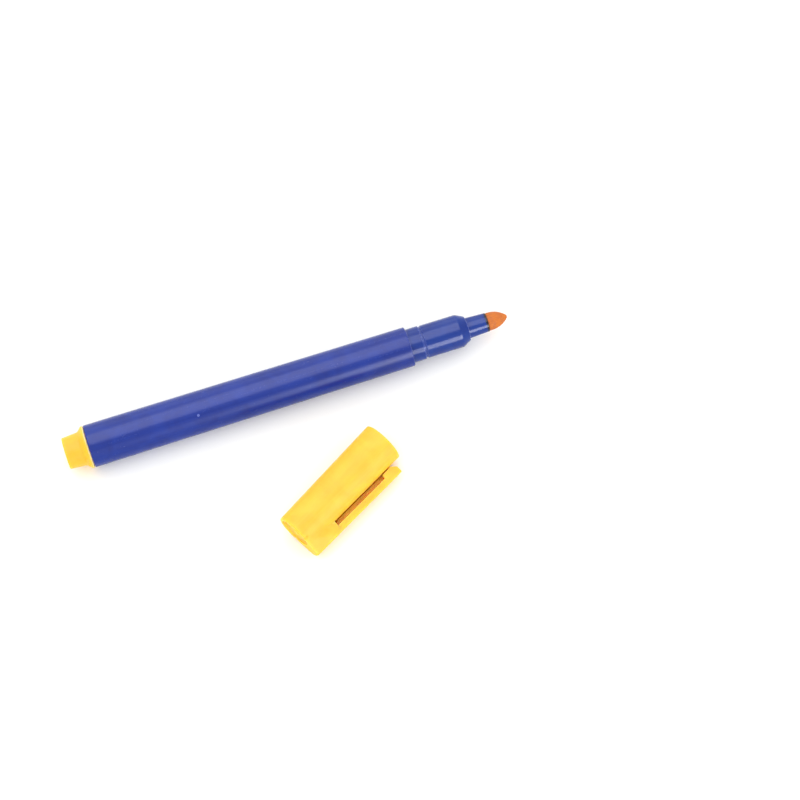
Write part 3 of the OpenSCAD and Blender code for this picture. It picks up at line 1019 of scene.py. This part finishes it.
# %% How far out the cap reaches in each direction
ROOT_HALF = 4.88
ROOT_BEVEL = 0.3
TOP_ROUND = 0.5
FLANK_ROUND = 0.5
FILLET = 0.8
NOTCH_DEPTH = 1.2
NOTCH_CUT = 0.85
NOTCH_EASE = 0.6
NOTCH_SPREAD = math.radians(4.2)

root_touch = math.sqrt(CLOSED_R ** 2 - ROOT_HALF ** 2)
flank_lean = (clip_inside(GAP_START) + CLIP_T - root_touch) / (ROOT_HALF - CLIP_W / 2)
notch_angle = math.atan2(ROOT_HALF, root_touch)


def root_half_width(along):
    """Half the root's width: wide at the closed end, as wide as the clip where that bends."""
    share = min(max((along - ROOT_BEVEL) / (FLEX_X - ROOT_BEVEL), 0.0), 1.0)
    return ROOT_HALF + (CLIP_W / 2 - ROOT_HALF) * share


def root_radius(along, angle, inset):
    """How far out the root reaches; the angle is measured from the clip's direction."""
    outwards = math.cos(angle)
    sideways = max(abs(math.sin(angle)), 1e-6)
    if outwards < 0.1:
        return 0.0
    top = clip_inside(along) + CLIP_T - inset
    flank_height = root_touch + ROOT_HALF * flank_lean - inset
    flank = flank_height / (outwards + flank_lean * sideways)
    plan = (root_half_width(along) - inset) / sideways
    return soft_min(soft_min(top, flank, TOP_ROUND), plan, FLANK_ROUND)


def shell_radius(along, angle, inset=0.0):
    """Outside radius of the cap moulding; the inset is measured inwards from its surface."""
    reach = wall_radius(along) - inset
    if along <= GAP_START:
        reach = soft_max(reach, root_radius(along, angle, inset), FILLET)
    near_end = max(1.0 - along / NOTCH_DEPTH, 0.0) ** NOTCH_EASE
    from_notch = (abs(angle) - notch_angle) / NOTCH_SPREAD
    return reach - NOTCH_CUT * near_end * math.exp(-from_notch ** 2)


print("The notches sit", round(math.degrees(notch_angle), 1), "degrees either side of the clip")

# %% [markdown]
# Every ring has points in the same directions. They crowd where the outline turns quickly: at the
# edges of the root's top, where the clip starts, and at the notches. The far side of the cap is
# plain and round, and needs few. Evenly spaced points would have to be close everywhere.

# %% Directions of the points in a ring
TURN_BANDS = ((0, 12, 4), (12, 17, 0.36), (17, 29, 0.75), (29, 59, 1.5), (59, 79, 0.8),
              (79, 91, 3), (91, 181, 4.5))


def spread(low, high, step):
    """Evenly spaced values from low up to, and not including, high."""
    return [low + step * i for i in range(round((high - low) / step))]


half_turn = [math.radians(a) for band in TURN_BANDS for a in spread(*band) if a < 179]
directions = half_turn + [math.pi] + [-a for a in half_turn[:0:-1]]
print("A ring has", len(directions), "points")

# %% [markdown]
# Along the cap the rings are spaced by need too: close together at every rounded edge and in the
# notches, and far apart on the plain wall. A rounded edge is a quarter of a circle, written as
# pairs of a place along the cap and a distance inwards from the surface.

# %% Where the outside rings stand
CLOSED_EDGE = 0.3
MOUTH_EDGE = 0.22
EDGE_STEPS = 5

quarter = [math.pi / 2 * i / EDGE_STEPS for i in range(EDGE_STEPS + 1)]
end_edge = [(CLOSED_EDGE * (1 - math.cos(a)), CLOSED_EDGE * (1 - math.sin(a))) for a in quarter]
mouth_edge = [(CAP_LENGTH - MOUTH_EDGE * (1 - math.cos(a)), MOUTH_EDGE * (1 - math.sin(a)))
              for a in reversed(quarter)]
wall_steps = [0.45, 0.65, 0.85, 1.0, 1.5] + spread(2, 8, 0.75) + [FLEX_X, GAP_START - 0.05]
print("Outside rings over the root:", len(end_edge) + len(wall_steps) + 1)

# %% [markdown]
# The rings run from the dish over the outside to the mouth and back down the bore, so that the
# shell is one closed surface. At the square front face of the root there are two of them in one
# place, one round the root and one round the wall.

# %% Rings of the cap's shell
DISH_R = 4.6
DISH_DEPTH = 0.6
DISH_FILLET = 0.1
DISH_RIM = ((0.1, 0.01), (0.03, 0.04), (0.0, 0.11))
END_WALL = 1.2
END_HOLE_R = 2.99
VENT_INNER = 3.55
VENT_OUTER = 4.1
MOUTH_BORE_R = 4.75
DEEP_BORE_R = 4.4
DEEP_BORE_END = CAP_LENGTH - 15.2
BORE_ROUND = 0.25
MOUTH_LEAD = 0.4

bm = bmesh.new()


def cap_ring(along, radius_of):
    """A ring of vertices round the cap's axis; radius_of is a number or a function of angle."""
    ring = []
    for angle in directions:
        radius = radius_of(angle) if callable(radius_of) else radius_of
        place = cap_point(along, radius * math.cos(angle), radius * math.sin(angle))
        ring.append(bm.verts.new(place))
    return ring


def shell_ring(along, inset=0.0):
    """A ring on the outside of the cap moulding."""
    return cap_ring(along, lambda angle: shell_radius(along, angle, inset))


floor_rings = [cap_ring(DISH_DEPTH, r)
               for r in (END_HOLE_R, VENT_INNER, VENT_OUTER, DISH_R - DISH_FILLET)]
rings = list(floor_rings)
rings.append(cap_ring(DISH_DEPTH - DISH_FILLET, DISH_R))
rings += [cap_ring(along, DISH_R + flare) for along, flare in DISH_RIM]
rings += [shell_ring(along, inset) for along, inset in end_edge]
rings += [shell_ring(along) for along in wall_steps]
rings.append(shell_ring(GAP_START))
rings.append(cap_ring(GAP_START, wall_radius(GAP_START)))
rings += [shell_ring(along) for along in spread(10, CAP_LENGTH - 1, 2)]
rings += [shell_ring(along, inset) for along, inset in mouth_edge]
rings.append(cap_ring(CAP_LENGTH, MOUTH_BORE_R + MOUTH_LEAD / 2 + 0.04))
rings.append(cap_ring(CAP_LENGTH - 0.05, MOUTH_BORE_R + MOUTH_LEAD / 2))
rings.append(cap_ring(CAP_LENGTH - MOUTH_LEAD, MOUTH_BORE_R))
rings.append(cap_ring(DEEP_BORE_END, MOUTH_BORE_R))
rings.append(cap_ring(DEEP_BORE_END - BORE_ROUND, DEEP_BORE_R))

back = DISH_DEPTH + END_WALL
rings.append(cap_ring(back + 0.3, DEEP_BORE_R))
rings.append(cap_ring(back, DEEP_BORE_R - BORE_ROUND))
back_rings = [cap_ring(back, r) for r in (VENT_OUTER, VENT_INNER, END_HOLE_R)]
rings += back_rings
print("The shell has", len(rings), "rings of", len(directions), "points")

# %% [markdown]
# The three air slots go right through the end wall. A boolean could cut them. The rings already
# run along both rims of every slot, so it is enough to add walls between the two surfaces of the
# end wall, and then to take away the faces that still cover the slots. One of the bridges between
# the slots points straight down.

# %% Join the rings and open the air slots
BRIDGE_WIDTH = 2.0
WELD = 0.0005

bridge_half = math.asin(BRIDGE_WIDTH / (VENT_INNER + VENT_OUTER))
down = math.pi / 2 - CLIP_DIP
bridges = [down + math.radians(120 * i) for i in range(3)]


def in_vent(index):
    """Whether the step after this direction lies over an air slot."""
    last = directions[(index + 1) % len(directions)]
    first = directions[index]
    middle = first + ((last - first) % (2 * math.pi)) / 2
    gaps = [abs((middle - b + math.pi) % (2 * math.pi) - math.pi) for b in bridges]
    return min(gaps) > bridge_half


vents = [in_vent(i) for i in range(len(directions))]
covers = []
for first, second in zip(rings, rings[1:] + rings[:1]):
    faces = skin(bm, first, second)
    if first is floor_rings[1] or first is back_rings[0]:
        covers += [face for face, is_open in zip(faces, vents) if is_open]

inner_front, outer_front = floor_rings[1], floor_rings[2]
outer_back, inner_back = back_rings[0], back_rings[1]
for i, is_open in enumerate(vents):
    after = (i + 1) % len(vents)
    if is_open:
        for front, rear in ((inner_front, inner_back), (outer_front, outer_back)):
            bm.faces.new((front[i], front[after], rear[after], rear[i]))
    if is_open != vents[i - 1]:
        bm.faces.new((inner_front[i], outer_front[i], outer_back[i], inner_back[i]))
bmesh.ops.delete(bm, geom=covers, context="FACES")
bmesh.ops.remove_doubles(bm, verts=bm.verts, dist=WELD * MM)
cap = make_piece(bm, "cap_moulding", cap_plastic)
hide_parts("cap_shell")
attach(cap, "cap")

# %% [markdown]
# ## The clip
#
# The clip is one long springy tongue with rounded edges and a thicker pad under its free end. A
# low rib along the lower edge of its inner face stiffens it, and from above that rib closes the
# slot, which glows orange instead of showing the table. Pad and rib could be pieces of their own.
# They are written as functions of the place along the clip instead, so that one skin covers all.

# %% Pad and rib
CLIP_START = 7.6
CLIP_END = CAP_LENGTH - 2.3
PAD_START = CLIP_END - 4.8
PAD_STEP = 0.25
PAD_RAMP = 1.5
PAD_GAP = 0.3
RIB_RISE = 0.85
RIB_START = GAP_START + 0.1
RIB_RAMP = 0.8


def pad_drop(along):
    """How far the pad stands out of the clip's inner face."""
    full = clip_inside(along) - wall_radius(CLIP_END) - PAD_GAP
    rising = min(max((along - PAD_START) / PAD_STEP, 0.0), 1.0)
    falling = min(max((CLIP_END - along) / PAD_RAMP, 0.0), 1.0)
    return full * rising * falling


def rib_drop(along):
    """How far the rib stands out of the clip's inner face; it runs into the pad."""
    if along >= PAD_START + 1:
        return pad_drop(along)
    rising = min(max((along - RIB_START) / RIB_RAMP, 0.0), 1.0)
    return max(RIB_RISE * rising, pad_drop(along))


print("The pad stands out by", round(pad_drop(PAD_START + 1), 2), "mm, the rib by", RIB_RISE)

# %% [markdown]
# A cross-section of the clip is a rounded rectangle with the rib on one edge, bent round the
# cap's axis so that the clip follows the round wall. The same corner rounding serves as for the
# turned pieces.

# %% Cross-section of the clip
CLIP_EDGE = 0.3
RIB_EDGE = 0.5
RIB_SLOPE = 0.15


def clip_ring(bm, along, inset=0.0, sink=0.0):
    """One cross-section of the clip, as a ring of vertices."""
    low, high = -pad_drop(along), CLIP_T
    half = CLIP_W / 2
    rib = -rib_drop(along)
    section = rounded([(rib, half, CLIP_EDGE / 2), (high, half, CLIP_EDGE),
                       (high, 0.0, 0.0), (high, -half, CLIP_EDGE),
                       (low, -half, CLIP_EDGE / 2), (low, RIB_EDGE - RIB_SLOPE, 0.0),
                       (rib, RIB_EDGE, 0.0)], closed=True)
    middle = (low + high) / 2
    ring = []
    for height, across in section:
        height = middle + (height - middle) * (1 - 2 * (inset + sink) / (high - low))
        across = across * (1 - (inset + sink) / half)
        out = math.sqrt((clip_inside(along) + height) ** 2 - across ** 2)
        ring.append(bm.verts.new(cap_point(along, out, across)))
    return ring


print("The clip is", CLIP_W, "mm wide and", CLIP_T, "mm thick")

# %% [markdown]
# On the real cap the clip is one piece with the root and bends where it leaves it. Here it is a
# mesh of its own, whose start is sunk in the root.

# %% Loft the clip
CLIP_SINK = 0.03
CLIP_END_ROUND = 0.32

bm = bmesh.new()
buried = (CLIP_START, 8.5, GAP_START - 0.1)
rings = [clip_ring(bm, along, sink=CLIP_SINK) for along in buried]
stations = [GAP_START + 0.02, GAP_START + 0.1] + spread(9.9, PAD_START - 0.6, 0.9)
stations += [PAD_START, PAD_START + PAD_STEP / 2, PAD_START + PAD_STEP, PAD_START + 1.2]
stations += [PAD_START + 2.4, CLIP_END - PAD_RAMP, CLIP_END - 1.1, CLIP_END - 0.7]
rings += [clip_ring(bm, along) for along in stations]
for a in quarter:
    along = CLIP_END - CLIP_END_ROUND * (1 - math.sin(a))
    rings.append(clip_ring(bm, along, inset=CLIP_END_ROUND * (1 - math.cos(a))))
for first, second in zip(rings, rings[1:]):
    skin(bm, first, second)
bm.faces.new(rings[0])
bm.faces.new(rings[-1])
clip = make_piece(bm, "cap_clip_tongue", cap_plastic)
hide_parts("cap_clip")
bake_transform(clip)

# %% [markdown]
# ## The inner cap
#
# A small thimble sits inside the cap and seals round the nose collar. Only its end shows, as a
# disc with a gate mark in the middle of the dish. Its engineering mesh is already the right
# shape, so it keeps that mesh and gets the same yellow.

# %% Finish the inner cap and print the engineering box
finish_node("inner_cap", cap_plastic)
print("Engineering box:", [round(v / MM, 2) for v in cad_high - cad_low])
